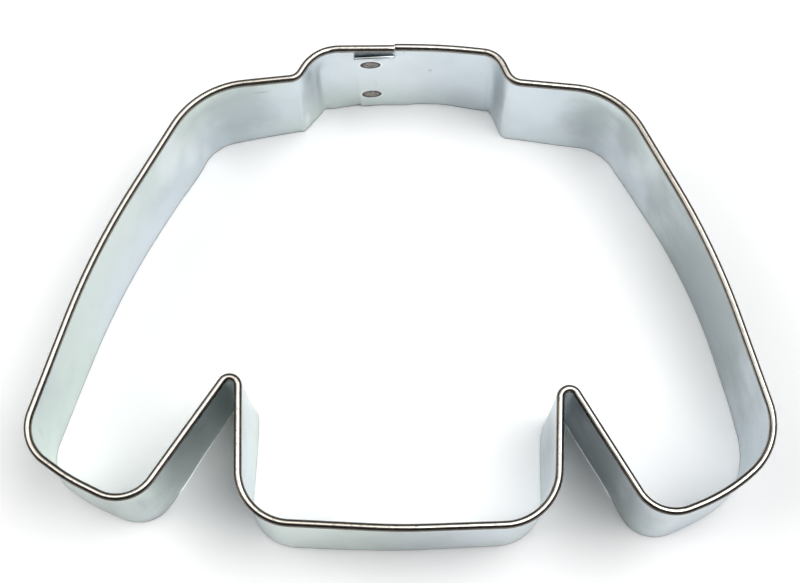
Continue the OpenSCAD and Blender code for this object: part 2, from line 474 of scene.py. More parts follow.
@dataclass
class StripSection:
    """Cross-section of the strip: a wall, and a bead rolled outwards along its top."""

    depth: float = 22.2
    sheet: float = 0.3
    bead_points: int = 40
    open_points: int = 7
    upper_rows: tuple[float, ...] = (20.95, 20.4, 19.5, 18.4)
    lower_row_step: float = 1.3
    wall_share: float = 0.9

    @property
    def bead_z(self) -> float:
        """Height of the bead's middle."""
        return self.depth - BEAD_D / 2

    def rows(self) -> list[float]:
        """Where the wall's rows of points lie, from the bead down to the cutting edge.

        Returns:
            Their heights.
        """
        last = self.upper_rows[-1]
        count = round(last / self.lower_row_step)
        return [*self.upper_rows, *(last * (count - k) / count for k in range(1, count + 1))]

    def draw(self, path: BandPath, name: str) -> bpy.types.Object:
        """Draws the section's line at the left end of the strip.

        Args:
            path: The line that the strip follows.
            name: Name of the new piece.

        Returns:
            The new mesh object, an open line of edges.
        """
        out, radius = path.lap_out, BEAD_D / 2 * MM
        start = path.seam + path.lap_along * Lap.seam_gap / 2
        middle = path.place(start + out * BEAD_D / 2, self.bead_z)
        side = Vector((out.x, out.y, 0.0))
        step = 2 * math.pi / self.bead_points
        bpy.ops.object.select_all(action="DESELECT")
        bpy.ops.mesh.primitive_circle_add(
            vertices=self.bead_points,
            radius=radius,
            fill_type="NOTHING",
            location=middle,
            rotation=(math.pi / 2, 0.0, math.atan2(out.y, out.x)),
        )
        obj = bpy.context.active_object
        obj.name = obj.data.name = name
        bpy.ops.object.transform_apply(location=True, rotation=True, scale=True)

        def opened(at: Vector) -> bool:
            """Whether a point lies in the gap between the rolled end and the wall."""
            angle = math.atan2((at - middle).z, (at - middle).dot(side)) % (2 * math.pi)
            return math.pi + step / 2 < angle < math.pi + step * (self.open_points + 0.5)

        with Bench(obj) as bench:
            bench.select(Element.VERT, opened)
            bpy.ops.mesh.delete(type="VERT")
            innermost = -0.999 * radius
            bench.select(Element.VERT, lambda at: (at - middle).dot(side) < innermost)
            height = self.bead_z
            for row in self.rows():
                down = (0.0, 0.0, (row - height) * MM)
                bpy.ops.mesh.extrude_vertices_move(TRANSFORM_OT_translate={"value": down})
                height = row
        self.note_turn(obj, middle, side)
        return obj

    def note_turn(self, obj: bpy.types.Object, middle: Vector, side: Vector) -> None:
        """Notes each point's angle round the bead, from its top and positive to the inside.

        Args:
            obj: The section's line.
            middle: The bead's middle.
            side: The way out of the cutter.
        """
        turns = obj.data.attributes.new(BEAD_TURN, "FLOAT", "POINT")
        for v, turn in zip(obj.data.vertices, turns.data, strict=True):
            out, up = (v.co - middle).dot(side), v.co.z - middle.z
            on_wall = up < -NEAR * MM and out < -self.wall_share * BEAD_D / 2 * MM
            turn.value = WALL_TURN if on_wall else math.atan2(-out, up)


class Graph:
    """Adds and joins the shader nodes of one material or world."""

    def __init__(self, owner: bpy.types.Material | bpy.types.World) -> None:
        """Takes the owner of the nodes and empties its node tree.

        Args:
            owner: The material or world.
        """
        owner.use_nodes = True
        self.tree = owner.node_tree
        self.tree.nodes.clear()

    def node(self, kind: str, inputs: Inputs = (), **settings: object) -> bpy.types.Node:
        """Adds a node.

        Args:
            kind: The node's type.
            inputs: The number or name of each input, with a socket to join or a value.
            settings: The node's properties.

        Returns:
            The new node.
        """
        made = self.tree.nodes.new(kind)
        for key, value in settings.items():
            setattr(made, key, value)
        for key, value in dict(inputs).items():
            if isinstance(value, Socket):
                self.tree.links.new(value, made.inputs[key])
            else:
                made.inputs[key].default_value = value
        return made

    def math(self, operation: str, *values: object) -> Socket:
        """A Math node's result, from sockets or numbers."""
        return self.node("ShaderNodeMath", enumerate(values), operation=operation).outputs[0]

    def times(self, a: object, b: object) -> Socket:
        """The product of two values."""
        return self.math("MULTIPLY", a, b)

    def plus(self, a: object, b: object) -> Socket:
        """The sum of two values."""
        return self.math("ADD", a, b)

    def less(self, a: object, b: object) -> Socket:
        """The first value less the second."""
        return self.math("SUBTRACT", a, b)

    def most(self, a: object, b: object) -> Socket:
        """The greater of two values."""
        return self.math("MAXIMUM", a, b)

    def ramp(self, value: Socket, low: float, high: float, *ends: float) -> Socket:
        """A smooth step, while a value goes from low to high, between two ends or from 0 to 1."""
        inputs = enumerate((value, low, high, *ends))
        return self.node("ShaderNodeMapRange", inputs, interpolation_type="SMOOTHSTEP").outputs[0]

    def mix(self, share: object, a: object, b: object) -> Socket:
        """A colour mixed between two by a share."""
        return self.node("ShaderNodeMix", ((0, share), (6, a), (7, b)), data_type="RGBA").outputs[2]


class Look(Graph):
    """The tin's look while it is put together: what its patterns read, and its sockets."""

    def __init__(self, material: bpy.types.Material) -> None:
        """Adds what the patterns read: the place, the height and the turn round the bead.

        Args:
            material: The new material.
        """
        super().__init__(material)
        self.place = self.node("ShaderNodeTexCoord").outputs["Object"]
        self.height = self.node("ShaderNodeSeparateXYZ", ((0, self.place),)).outputs["Z"]
        self.turn = self.node("ShaderNodeAttribute", attribute_name=BEAD_TURN).outputs["Fac"]
        self.outer = self.ramp(self.turn, WALL_TURN, OUTER_TURN)
        self.colour: Socket | None = None
        self.rough: Socket | None = None
        self.relief: Socket | None = None

    def tint(self, share: Socket, colour: Triple) -> None:
        """Mixes a colour in by a share."""
        self.colour = self.mix(share, self.colour, (*colour, 1.0))

    def mapped(self, scale: Iterable[float], shift: Iterable[float]) -> Socket:
        """The place scaled and then shifted."""
        inputs = ("Vector", self.place), ("Scale", tuple(scale)), ("Location", tuple(shift))
        return self.node("ShaderNodeMapping", inputs, vector_type="POINT").outputs[0]

    def noise(self, pattern: Pattern) -> Socket:
        """A pattern's noise, whose mean is 0.5.

        Args:
            pattern: The pattern.

        Returns:
            The noise's value.
        """
        plain = (pattern.stretch, pattern.shift) == (Pattern.stretch, Pattern.shift)
        inputs = {
            "Vector": self.place if plain else self.mapped(pattern.stretch, pattern.shift),
            "Scale": pattern.scale,
            "Detail": pattern.detail,
            "Roughness": pattern.rough,
        }
        return self.node("ShaderNodeTexNoise", inputs).outputs["Fac"]

    def share(self, pattern: Pattern, *ends: float) -> Socket:
        """A pattern's effect, between two ends or from 0 to 1."""
        return self.ramp(self.noise(pattern), pattern.low, pattern.high, *ends)

    def ragged(self, value: Socket, pattern: Pattern, swing: float) -> Socket:
        """A value that a pattern moves up and down by up to half a swing."""
        return self.plus(value, self.times(self.less(self.noise(pattern), 0.5), swing))

    def spot(self, centre: Triple, size: Triple) -> Socket:
        """The distance from a place in the part, in parts of a spot's own half sizes.

        Args:
            centre: The spot's place, in millimetres.
            size: Its half sizes along x, y and z, in millimetres.

        Returns:
            0 at the spot's middle and 1 at its rim.
        """
        scale = [1 / (s * MM) for s in size]
        shift = [-c * MM * k for c, k in zip(centre, scale, strict=True)]
        inputs = enumerate((self.mapped(scale, shift),))
        return self.node("ShaderNodeVectorMath", inputs, operation="LENGTH").outputs["Value"]

    def bump(
        self, height: Socket, strength: float, depth: float, under: Socket | None = None
    ) -> Socket:
        """A normal tilted by a height.

        Args:
            height: The height's share.
            strength: The bump's strength.
            depth: The full height, in millimetres.
            under: The normal that is tilted, or None for the mesh's own.

        Returns:
            The new normal.
        """
        inputs = {"Height": height, "Strength": strength, "Distance": depth * MM}
        if under is not None:
            inputs["Normal"] = under
        return self.node("ShaderNodeBump", inputs).outputs[0]


@dataclass(frozen=True)
class Tinplate:
    """Bright tinplate: cool grey and softly mottled, the bead's flanks partly tarnished and partly
    darkened by painted shade, with patches of painted shade and light, and a painted glint along
    the cut edge in the gaps.

    A range of turns is of angles round the bead, in radians from its top and positive to
    the inside, and goes on to the wall's own values. A weld's ranges are in parts of its
    half size, and those of the edge are heights in millimetres.
    """

    green_grey: Triple = (0.61, 0.69, 0.66)
    blue_grey: Triple = (0.60, 0.665, 0.71)
    dull_grey: Triple = (0.48, 0.54, 0.55)
    # Pale tint of the painted light patches, and of the welds' halo of polish and painted sheen.
    bright: Triple = (0.78, 0.83, 0.84)
    # Tint of the painted shade patches.
    painted_shade_colour: Triple = (0.25, 0.30, 0.305)
    # Dark of the stains, and of the painted shade on the lap's lip and in its crevice.
    stain: Triple = (0.07, 0.068, 0.06)
    hue: Pattern = Pattern(26, 1, 0.5, 0.40, 0.60)
    blotch: Pattern = Pattern(110, 4, 0.55, 0.44, 0.72, (1.0, 1.0, 0.8), (0.02, 0.05, 0.01))
    blotch_share: float = 0.38
    roughness: float = 0.26
    satin: Pattern = Pattern(90, 3)
    satin_swing: float = 0.12
    grain: Pattern = Pattern(900, 3, 0.6, stretch=(1.0, 1.0, 6.0))
    grain_share: float = 0.35
    relief_strength: float = 0.12
    relief_depth: float = 0.1

    bead_tin: Triple = (0.42, 0.39, 0.34)
    bead_worn: Triple = (0.58, 0.55, 0.50)
    bead_turns: Range = (4.0, 2.0)
    bead_wear: Pattern = Pattern(34, 2, 0.5, 0.42, 0.70)
    bead_wear_share: float = 0.8
    bead_specks: Pattern = Pattern(1500, 2, 0.6, 0.52, 0.70)
    bead_speck_share: float = 0.45
    bead_roughness: float = 0.18

    # Dark of the bead's specks, and of its tarnished flanks with their painted shade.
    tarnish_and_shade: Triple = (0.112, 0.102, 0.09)
    outer_turns: Range = (-0.14, -0.38)
    inner_turns: Range = (0.18, 0.42)
    side_turns: Range = (-1.35, -1.90)
    side_share: float = 0.5
    # Painted shade in the groove under the bead, fading onto the wall.
    groove_shade_turns: Range = (4.8, 2.2)
    groove_shade_share: float = 0.78
    flank_wear: Pattern = Pattern(700, 2, 0.5, 0.25, 0.75)
    flank_least: float = 0.86

    # Dark steel of the cut edge, with painted contact shade where it meets the table.
    cut_steel_and_shade: Triple = (0.16, 0.17, 0.17)
    cut_shade_share: float = 0.75
    # Painted glint along the cut edge on the outer face in the two gaps.
    painted_edge_glint: Triple = (0.95, 0.96, 0.96)
    edge_line: Range = (0.52, 0.30)
    edge_wave: Pattern = Pattern(500, 2)
    edge_swing: float = 0.25
    burr_line: Range = (0.62, 0.22)
    burr_depth: float = 1.6
    # Where the painted glint runs: the two gaps between the sleeves and the body.
    gap_places: tuple[Triple, ...] = ((-31.0, -24.0, 0.0), (31.0, -24.0, 0.0))
    gap_size: Triple = (9.5, 9.5, 5.0)
    gap_fade: Range = (1.0, 0.8)

    mark_core: float = 0.25
    # Reach within which the crevice's painted shade is full.
    crevice_shade_core: float = 0.85
    mark_cloud: Pattern = Pattern(150, 4, 0.65)
    mark_swing: float = 0.8

    weld_grey: Triple = (0.30, 0.27, 0.25)
    # Painted shade on the print's sloping rim.
    weld_rim_shade: Triple = (0.05, 0.05, 0.05)
    weld_mottle: Pattern = Pattern(1800, 3, 0.6, 0.35, 0.65)
    weld_tones: Range = (0.6, 1.25)
    weld_wave: Pattern = Pattern(1400, 2)
    weld_swing: float = 0.12
    print_line: Range = (1.03, 0.94)
    # Where the print's rim takes painted shade, and how much.
    rim_shade_line: Range = (0.55, 0.92)
    rim_shade_share: float = 0.9
    # The halo of polish and painted sheen round each print.
    halo_outside: Range = (1.35, 1.12)
    halo_inside: Range = (0.98, 1.08)
    halo_share: float = 0.7
    weld_roughness: float = 0.25
    marks: tuple[Mark, ...] = ()

    def build(self) -> bpy.types.Material:
        """Makes the material.

        Returns:
            The new material.
        """
        material = bpy.data.materials.new("tinplate_finish")
        look = Look(material)
        look.colour = self.ground(look)
        look.rough = self.gloss(look)
        look.relief = look.times(look.noise(self.grain), self.grain_share)
        for mark in self.marks:
            self.mark(look, mark)
        look.colour = look.mix(look.ramp(look.turn, *self.bead_turns), look.colour, self.bead(look))
        # Tarnished flanks with painted shade, and painted shade in the groove under the bead.
        look.tint(self.flank_shade(look), self.tarnish_and_shade)
        burr = look.bump(self.cut_edge_shade_and_glint(look), 1.0, self.burr_depth)
        normal = look.bump(look.relief, self.relief_strength, self.relief_depth, burr)
        inputs = {
            "Metallic": 1.0,
            "Base Color": look.colour,
            "Roughness": look.rough,
            "Normal": normal,
        }
        shader = look.node("ShaderNodeBsdfPrincipled", inputs).outputs[0]
        look.node("ShaderNodeOutputMaterial", {"Surface": shader})
        return material

    def ground(self, look: Look) -> Socket:
        """The sheet's own colour, from green grey to blue grey with duller blotches.

        Args:
            look: The look so far.

        Returns:
            The colour.
        """
        hue = look.share(self.hue)
        blotch = look.times(look.share(self.blotch), self.blotch_share)
        colour = look.mix(hue, (*self.green_grey, 1.0), (*self.blue_grey, 1.0))
        return look.mix(blotch, colour, (*self.dull_grey, 1.0))

    def gloss(self, look: Look) -> Socket:
        """The roughness: satin on the wall, and less on the bead that fingers polish.

        Args:
            look: The look so far.

        Returns:
            The roughness.
        """
        wall = look.plus(self.roughness, look.times(look.noise(self.satin), self.satin_swing))
        on_wall = look.ramp(look.turn, *reversed(self.bead_turns))
        bead = look.times(look.less(1.0, on_wall), self.bead_roughness)
        return look.plus(look.times(wall, on_wall), bead)

    def bead(self, look: Look) -> Socket:
        """The bead's own colour: brown-grey tin with worn stretches and fine dark specks.

        Args:
            look: The look so far.

        Returns:
            The colour.
        """
        worn = look.times(look.share(self.bead_wear), self.bead_wear_share)
        specks = look.times(look.share(self.bead_specks), self.bead_speck_share)
        colour = look.mix(worn, (*self.bead_tin, 1.0), (*self.bead_worn, 1.0))
        return look.mix(specks, colour, (*self.tarnish_and_shade, 1.0))

    def flank_shade(self, look: Look) -> Socket:
        """Tarnish and painted shade on the bead's flanks, where they mirror the dim room, and
        painted shade in the groove under the bead.

        Args:
            look: The look so far.

        Returns:
            The share of the dark tint: tarnished tin and painted shade.
        """
        side = look.ramp(look.turn, *self.side_turns, 1.0, self.side_share)
        outer = look.times(look.ramp(look.turn, *self.outer_turns), side)
        groove = look.ramp(look.turn, *self.groove_shade_turns, 0.0, self.groove_shade_share)
        inner = look.times(look.ramp(look.turn, *self.inner_turns), groove)
        return look.times(look.most(outer, inner), look.share(self.flank_wear, self.flank_least))

    def cut_edge_shade_and_glint(self, look: Look) -> Socket:
        """Draws dark steel and painted contact shade along the cut edge, and a painted glint
        outside it in the two gaps.

        Args:
            look: The look so far, which is changed.

        Returns:
            The share of the burr that lies along the painted glint.
        """
        wave = look.times(look.noise(self.edge_wave), self.edge_swing * MM)
        height = look.plus(look.height, wave)
        edge = look.ramp(height, *(z * MM for z in self.edge_line))
        gaps = [look.ramp(look.spot(at, self.gap_size), *self.gap_fade) for at in self.gap_places]
        outside = look.times(look.outer, look.plus(*gaps))
        inside = look.less(self.cut_shade_share, look.times(outside, self.cut_shade_share))
        # Dark steel with painted contact shade along the cut edge.
        look.tint(look.times(edge, inside), self.cut_steel_and_shade)
        # Painted glint along the cut edge in the gaps.
        look.tint(look.times(edge, outside), self.painted_edge_glint)
        return look.times(look.ramp(height, *(z * MM for z in self.burr_line)), outside)

    def mark(self, look: Look, mark: Mark) -> None:
        """Adds one mark: stains, a weld's print, or a patch of painted shade or painted light.

        Args:
            look: The look so far, which is changed.
            mark: The mark.
        """
        reach, tone = look.spot(mark.place, mark.size), mark.tone
        if tone is Tone.WELD:
            self.weld(look, reach)
            return
        if tone in (Tone.PAINTED_SHADE, Tone.PAINTED_LIGHT):
            reach = look.ragged(reach, self.mark_cloud, self.mark_swing)
        core = self.crevice_shade_core if tone is Tone.CREVICE_SHADE else self.mark_core
        share = look.times(look.ramp(reach, 1.0, core), mark.strength)
        # The crevice's painted shade stays off the outer face.
        if tone is Tone.CREVICE_SHADE:
            share = look.times(share, look.less(1.0, look.outer))
        # Painted shade and painted light patches take their own tints; every other mark takes the
        # dark.
        colours = {Tone.PAINTED_SHADE: self.painted_shade_colour, Tone.PAINTED_LIGHT: self.bright}
        look.tint(share, colours.get(tone, self.stain))

    def weld(self, look: Look, reach: Socket) -> None:
        """Adds one electrode's mark: a brown-grey print, a dark rim of painted shade on its sloping
        edge, and a pale halo of polish and painted sheen.

        Args:
            look: The look so far, which is changed.
            reach: Distance from the weld's middle, 1 at the print's rim.
        """
        reach = look.ragged(reach, self.weld_wave, self.weld_swing)
        print_share = look.ramp(reach, *self.print_line)
        rim = look.times(print_share, look.ramp(reach, *self.rim_shade_line))
        halo = look.times(
            look.ramp(reach, *self.halo_outside), look.ramp(reach, *self.halo_inside)
        )
        inputs = {0: self.weld_grey, "Scale": look.share(self.weld_mottle, *self.weld_tones)}
        grey = look.node("ShaderNodeVectorMath", inputs, operation="SCALE").outputs[0]
        look.colour = look.mix(print_share, look.colour, grey)
        # Painted shade on the print's sloping rim.
        look.tint(look.times(rim, self.rim_shade_share), self.weld_rim_shade)
        # Polish and painted sheen in the halo round the print.
        look.tint(look.times(halo, self.halo_share), self.bright)
        look.rough = look.plus(look.rough, look.times(print_share, self.weld_roughness))
        look.relief = look.plus(look.relief, halo)


@dataclass
class CutterBand:
    """The whole band: the strip with its bead, the lap and the electrodes' marks.

    The first marks in the list are the nicks in the bead, one for each of nick_depths.
    """

    path: BandPath = field(default_factory=BandPath)
    section: StripSection = field(default_factory=StripSection)
    lap: Lap = field(default_factory=Lap)
    station_len: float = 1.3
    bend_step: float = 4.0
    springs: tuple[Spring, ...] = (
        Spring(-3, 39.3, 0.75),
        Spring(-8.5, 39.2, 0.3),
        Spring(-12.6, 39, -0.55),
        Spring(-17, 34, 0.7),
        Spring(-25, 33, 0.1),
        Spring(-31, 31.5, -0.6),
        Spring(-36, 27, -0.9),
        Spring(-40, 20, -0.35),
        Spring(-49, 1, -0.1),
        Spring(-53, -11, 0.2),
        Spring(-57, -26, 0.4),
        Spring(-52, -31, 0.4),
        Spring(-45, -34.5, 0.0),
        Spring(-39, -33, 0.35),
        Spring(-36, -29, 0.4),
        Spring(-33, -24.5, 0.0),
        Spring(-28, -18, -0.15),
        Spring(-24.4, -17.5, -0.85),
        Spring(-24.3, -24, -0.55),
        Spring(-24.1, -30, -0.1),
        Spring(-21, -37.5, 0.4),
        Spring(-10, -39.2, 0.3),
        Spring(0, -39.6, 0.05),
        Spring(16, -39.1, -0.2),
        Spring(24, -30, -0.7),
        Spring(24, -21.5, -1.0),
        Spring(27, -18, 0.1),
        Spring(33, -28.5, 0.1),
        Spring(38, -36, 0.5),
        Spring(46, -35.7, 0.2),
        Spring(52, -32.5, 0.3),
        Spring(56.5, -23.5, -0.5),
        Spring(54.6, -15.2, 0.1),
        Spring(51, -3, 0.35),
        Spring(44, 14.5, 0.25),
        Spring(40.6, 21.5, -0.1),
        Spring(36, 28.5, -0.6),
        Spring(29, 32, -0.5),
        Spring(21, 33, -0.1),
        Spring(15.5, 38, 0.0),
        Spring(13.2, 38.6, -0.1),
        Spring(8, 39.2, 0.45),
        Spring(2, 39.3, 0.6),
    )
    spring_step: float = 0.5
    spring_top: float = 20.0
    spring_curve: float = 1.3
    spring_blur: float = 4.0
    spring_room: float = 1.5
    crease_top: float = 20.6
    crease_run: float = 6.0
    ripple: float = 0.08
    ripple_size: float = 14.0
    ripple_top: float = 19.0
    ripple_run: float = 5.0
    flat_lap: Range = (-6.0, 8.0)
    fade: float = 6.0
    edge_round: float = 0.05
    rounded_from: float = 60.0
    smooth_to: float = 32.0
    end_close: float = 0.04
    end_proud: float = 0.16
    end_high: float = 0.12
    end_reach: float = 11.0
    nick_depths: tuple[float, ...] = (0.16, 0.08)
    nick_size: float = 0.45
    nick_soft: float = 1.0
    # After the nicks come small dark marks, patches of painted shade where the walls lie in shade
    # or mirror shadowed floor, and patches of painted light where they mirror lit floor.
    marks: tuple[Mark, ...] = (
        Mark((23.1, 33.3, 22.1), (0.45, 0.5, 0.6), 0.9),
        Mark((-11.6, 39.6, 22.2), (0.2, 0.4, 0.4), 0.5),
        Mark((0.72, 40.2, 21.4), (0.20, 1.2, 1.4), 0.95),
        Mark((15.6, 38.4, 19.2), (0.35, 0.8, 0.5), 0.7),
        Mark((5.0, 39.3, 14.4), (0.5, 0.8, 0.7), 0.35),
        Mark((-23.2, 33.3, 18.8), (2.4, 0.8, 0.22), 0.45),
        Mark((-56.7, -23.5, 15.0), (0.8, 0.9, 3.4), 0.12),
        Mark((-40.3, -36.2, 19.4), (0.9, 0.8, 0.6), 0.5),
        Mark((-40.3, -35.2, 12.0), (1.1, 1.4, 7.0), 0.35),
        Mark((49.0, -1.0, 11.0), (14.0, 34.0, 40.0), 0.72, Tone.PAINTED_SHADE),
        Mark((32.0, 31.4, 11.0), (7.2, 4.0, 12.0), 0.55, Tone.PAINTED_SHADE),
        Mark((38.4, 26.6, 15.0), (6.0, 6.0, 10.0), 0.42, Tone.PAINTED_SHADE),
        Mark((37.2, 28.0, 0.0), (3.0, 3.0, 6.0), 0.40, Tone.PAINTED_LIGHT),
        Mark((39.5, 23.5, 10.5), (2.6, 2.8, 5.0), 0.40, Tone.PAINTED_LIGHT),
        Mark((41.5, 19.5, 18.0), (2.5, 3.0, 5.0), 0.35, Tone.PAINTED_LIGHT),
        Mark((-27.0, 32.6, 12.5), (9.5, 4.0, 14.0), 0.42, Tone.PAINTED_SHADE),
        Mark((-38.2, 22.6, 16.0), (4.0, 5.0, 9.0), 0.60, Tone.PAINTED_LIGHT),
        Mark((-35.9, 27.0, 9.0), (3.4, 3.8, 8.0), 0.55, Tone.PAINTED_LIGHT),
        Mark((-34.5, 29.6, 3.0), (2.2, 2.2, 5.5), 0.50, Tone.PAINTED_LIGHT),
        Mark((0.0, -40.0, 8.0), (16.0, 3.0, 14.0), 0.35, Tone.PAINTED_SHADE),
        Mark((-44.0, -36.0, 10.0), (12.0, 6.0, 14.0), 0.50, Tone.PAINTED_SHADE),
        Mark((32.5, -27.0, 9.0), (9.0, 11.0, 18.0), 0.70, Tone.PAINTED_SHADE),
        Mark((-33.5, -27.0, 9.0), (8.5, 9.5, 18.0), 0.45, Tone.PAINTED_SHADE),
        Mark((10.4, 38.9, 4.0), (5.5, 1.6, 6.0), 0.16, Tone.PAINTED_SHADE),
        Mark((16.8, 36.0, 11.0), (1.7, 2.9, 16.0), 0.40, Tone.PAINTED_SHADE),
        Mark((-4.2, 39.3, 9.5), (0.12, 0.8, 1.8), 0.25),
        Mark((-15.2, 36.5, 18.4), (0.8, 1.2, 2.6), 0.30, Tone.PAINTED_SHADE),
        Mark((54.0, -12.0, 8.0), (3.5, 8.0, 12.0), 0.30, Tone.PAINTED_SHADE),
        Mark((24.3, -26.0, 9.0), (1.6, 12.0, 18.0), 0.65, Tone.PAINTED_SHADE),
        Mark((38.0, -34.5, 9.0), (6.0, 5.0, 16.0), 0.50, Tone.PAINTED_SHADE),
        Mark((42.5, 17.0, 13.0), (3.0, 6.0, 14.0), 0.35, Tone.PAINTED_SHADE),
        Mark((-16.1, 35.0, 3.5), (0.8, 1.4, 4.5), 0.60, Tone.PAINTED_LIGHT),
        Mark((-46.0, 8.0, 10.0), (12.0, 24.0, 30.0), 0.25, Tone.PAINTED_LIGHT),
        Mark((-24.0, -20.0, 8.0), (1.2, 14.0, 16.0), 0.45, Tone.PAINTED_LIGHT),
        Mark((-28.3, -16.9, 14.0), (1.5, 1.5, 5.0), 0.50, Tone.PAINTED_LIGHT),
        Mark((-3.0, 39.6, 13.0), (13.0, 3.0, 15.0), 0.35, Tone.PAINTED_LIGHT),
        Mark((-27.2, -15.2, 17.0), (1.8, 1.8, 2.4), 0.90, Tone.PAINTED_LIGHT),
    )

    def build(self) -> bpy.types.Object:
        """Makes the band and dresses it.

        Returns:
            The finished piece.
        """
        band = self.section.draw(self.path, "tinplate_band")
        with Bench(band) as bench:
            self.sweep(bench)
            self.step_to_tongue(bench)
            self.tongue(bench)
            self.face_inwards(bench)
            self.grid_at_welds(bench)
        self.lean(band)
        self.ripples(band)
        with Bench(band) as bench:
            self.lift_end(bench)
        self.thicken(band)
        with Bench(band) as bench:
            self.press_welds(bench)
            self.dent_bead(bench)
        self.round_edges(band)
        self.dress(band)
        return band

    @property
    def shift(self) -> float:
        """How far inside the wall's inner face the tongue's lies."""
        return self.section.sheet + self.lap.gap

    def run(self, bench: Bench, i: int, length: float) -> None:
        """Extrudes the section along run i.

        Args:
            bench: The open mesh.
            i: The run.
            length: How far, in millimetres.
        """
        count = max(1, math.ceil(length / self.station_len))
        step = self.path.along(i) * length / count * MM
        bench.repeat(Vector((step.x, step.y, 0.0)), count)

    def sweep(self, bench: Bench) -> None:
        """Leads the section from the left end of the strip round to the step before the tongue.

        Args:
            bench: The open mesh.
        """
        path, last = self.path, self.path.lap_run
        bench.mode(Element.VERT)
        bpy.ops.mesh.select_all(action="SELECT")
        self.run(bench, last, path.run_len(last) - path.seam_run() - self.lap.seam_gap / 2)
        for i, bend in enumerate(path.bends):
            turn = path.turn(i)
            arc = (bend.radius + BEAD_D) * abs(turn)
            by_angle = math.ceil(abs(math.degrees(turn)) / self.bend_step)
            steps = max(1, math.ceil(arc / self.station_len), by_angle)
            bench.spin(turn, path.place(path.bend_centre(i)), steps)
            length = path.run_len(i) if i != last else path.seam_run() - self.lap.step_len
            self.run(bench, i, length)

    def step_to_tongue(self, bench: Bench) -> None:
        """Carries the strip on to the seam, its wall stepping inwards below the notch.

        Args:
            bench: The open mesh.
        """
        lap, path = self.lap, self.path
        length = lap.step_len - lap.seam_gap / 2
        bench.repeat(path.lap_offset(length / lap.stations, 0, 0), lap.stations)
        for k in range(1, lap.stations + 1):
            station = -lap.step_len + length * k / lap.stations

            def here(at: Vector, station: float = station) -> bool:
                """Whether a point is at this station and below the notch."""
                along, inward, z = path.in_lap(at)
                on_wall = abs(inward) < BEAD_D / 2 and z < lap.tongue_top + NEAR
                return on_wall and abs(along - station) < NEAR

            bench.select(Element.VERT, here)
            bench.move(path.lap_offset(0, eased(self.shift, k / lap.stations), 0))

    def tongue(self, bench: Bench) -> None:
        """Draws the tongue out of the strip's end, trims its end and flares its lip.

        Args:
            bench: The open mesh.
        """
        lap, path = self.lap, self.path
        start = -lap.seam_gap / 2
        length = lap.tongue_len - start - lap.notch_end

        def on_tongue(at: Vector) -> bool:
            """Whether a point is on the tongue's layer."""
            along, inward, z = path.in_lap(at)
            within = start - NEAR < along < lap.tongue_len + NEAR
            return within and abs(inward - self.shift) < NEAR and z < lap.tongue_top + NEAR

        bench.select(Element.VERT, on_tongue)
        bench.mode(Element.EDGE)
        bench.repeat(path.lap_offset(lap.notch_end, 0, 0), 1)
        bench.repeat(path.lap_offset(length / lap.tongue_steps, 0, 0), lap.tongue_steps)
        low = Vector((lap.tongue_len - lap.tongue_slant, 0.0))
        high = Vector((lap.tongue_len, lap.tongue_top))
        self.trim(bench, on_tongue, low, (high - low).orthogonal())
        corner = low + Vector((-lap.corner_r, lap.corner_r))
        for k in range(1, lap.corner_cuts + 1):
            angle = -math.pi / 2 * k / (lap.corner_cuts + 1)
            normal = Vector((math.cos(angle), math.sin(angle)))
            self.trim(bench, on_tongue, corner + normal * lap.corner_r, normal)
        for k in range(lap.tongue_steps + 1):
            column = lap.notch_end + start + length * k / lap.tongue_steps

            def on_lip(at: Vector, column: float = column) -> bool:
                """Whether a point is on the lip's edge in this column."""
                along, _, z = path.in_lap(at)
                on_top = z > lap.tongue_top - lap.lip_deep
                return on_tongue(at) and on_top and abs(along - column) < NEAR

            bench.select(Element.VERT, on_lip)
            out, rise = (
                a + (b - a) * k / lap.tongue_steps for a, b in (lap.lip_out, lap.lip_rise)
            )
            bench.move(path.lap_offset(0, out, rise))

    def trim(self, bench: Bench, where: Where, point: Vector, normal: Vector) -> None:
        """Cuts the tongue along a line of its side view and drops what is beyond it.

        Args:
            bench: The open mesh.
            where: Says of a place whether it is on the tongue.
            point: A point on the line, along the lap and up.
            normal: The line's normal, of which the side towards the tongue's end is dropped.
        """
        if normal.x < 0:
            normal = -normal
        bench.select(Element.VERT, where)
        bench.mode(Element.FACE)
        bpy.ops.mesh.bisect(
            plane_co=self.path.lap_place(point.x, 0, point.y),
            plane_no=self.path.lap_offset(normal.x, 0, normal.y).normalized(),
            clear_outer=True,
            threshold=1e-6,
        )

    def face_inwards(self, bench: Bench) -> None:
        """Turns the sheet over if the hem's faces look out of the cutter.

        Args:
            bench: The open mesh.
        """
        mesh = bmesh.from_edit_mesh(bench.obj.data)
        mesh.normal_update()
        reach = self.section.depth / 2 * MM
        inwards = 0.0
        for f in mesh.faces:
            at = f.calc_center_median()
            if abs(at.x) < reach and at.y < 0 and at.z < reach:
                inwards += f.normal.y
        if inwards < 0:
            bpy.ops.mesh.select_all(action="SELECT")
            bpy.ops.mesh.flip_normals()

    def grid_at_welds(self, bench: Bench) -> None:
        """Gives the sheet a fine grid where the electrodes pressed it.

        Args:
            bench: The open mesh.
        """
        lap = self.lap
        reach = lap.weld_d / 2 + lap.weld_grid

        def near_weld(at: Vector) -> bool:
            """Whether a place is within a square about a weld on the lap."""
            along, inward, z = self.path.in_lap(at)
            welds = (abs(along - x) < reach and abs(z - h) < reach for x, h, _ in lap.welds())
            return abs(inward) < BEAD_D and any(welds)

        bench.select(Element.FACE, near_weld)
        cuts = lap.weld_cuts
        bpy.ops.mesh.subdivide(number_cuts=cuts, quadcorner="STRAIGHT_CUT", ngon=True)

